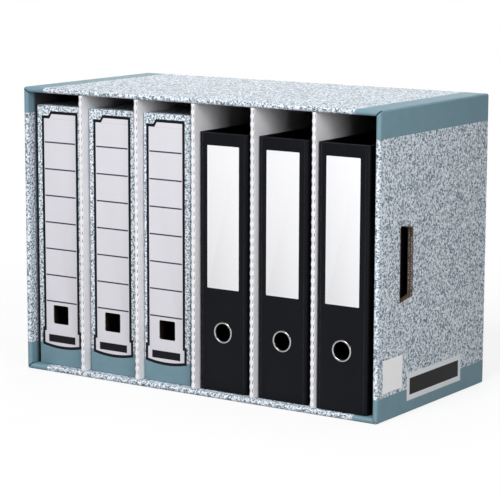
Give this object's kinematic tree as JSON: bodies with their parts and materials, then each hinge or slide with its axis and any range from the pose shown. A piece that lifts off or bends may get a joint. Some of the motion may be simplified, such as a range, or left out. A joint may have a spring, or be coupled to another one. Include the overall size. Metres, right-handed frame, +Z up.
{
  "type": "archive storage box",
  "caption": "Open-fronted corrugated archive storage unit with upright compartments that hold transfer boxes and lever arch files.",
  "frame": {"origin": "on the floor, in the middle of the unit's outline", "axes": "+X to the right as seen from the open front, +Y to the back, +Z up"},
  "size_m": [0.572, 0.288, 0.398],
  "materials": {
    "speckled_board": "matt printed corrugated board with a fine grey speckle and solid blue-grey bands",
    "white_board": "matt white corrugated board",
    "transfer_board": "matt printed board with a grey speckle and a white ruled panel",
    "black_cover": "satin black cover sheet over greyboard",
    "label_paper": "matt white label",
    "bright_steel": "bright plated steel"
  },
  "bodies": {
    "root": {"outer_case": "speckled_board", "divider_1": "white_board", "divider_2": "white_board", "divider_3": "white_board", "divider_4": "white_board", "divider_5": "white_board", "transfer_box_1": "transfer_board", "transfer_box_2": "transfer_board", "transfer_box_3": "transfer_board", "file_1_cover": "black_cover", "file_1_spine_label": "label_paper", "file_1_finger_ring": "bright_steel", "file_1_base_plate": "bright_steel", "file_1_arch_wire": "bright_steel", "file_1_compressor_bar": "bright_steel", "file_1_lever": "bright_steel", "file_1_lever_pin": "bright_steel", "file_1_lower_post": "bright_steel", "file_1_lower_eyelet": "bright_steel", "file_1_upper_post": "bright_steel", "file_1_upper_eyelet": "bright_steel", "file_2_cover": "black_cover", "file_2_spine_label": "label_paper", "file_2_finger_ring": "bright_steel", "file_2_base_plate": "bright_steel", "file_2_arch_wire": "bright_steel", "file_2_compressor_bar": "bright_steel", "file_2_lever": "bright_steel", "file_2_lever_pin": "bright_steel", "file_2_lower_post": "bright_steel", "file_2_lower_eyelet": "bright_steel", "file_2_upper_post": "bright_steel", "file_2_upper_eyelet": "bright_steel", "file_3_cover": "black_cover", "file_3_spine_label": "label_paper", "file_3_finger_ring": "bright_steel", "file_3_base_plate": "bright_steel", "file_3_arch_wire": "bright_steel", "file_3_compressor_bar": "bright_steel", "file_3_lever": "bright_steel", "file_3_lever_pin": "bright_steel", "file_3_lower_post": "bright_steel", "file_3_lower_eyelet": "bright_steel", "file_3_upper_post": "bright_steel", "file_3_upper_eyelet": "bright_steel"}
  },
  "joints": []
}
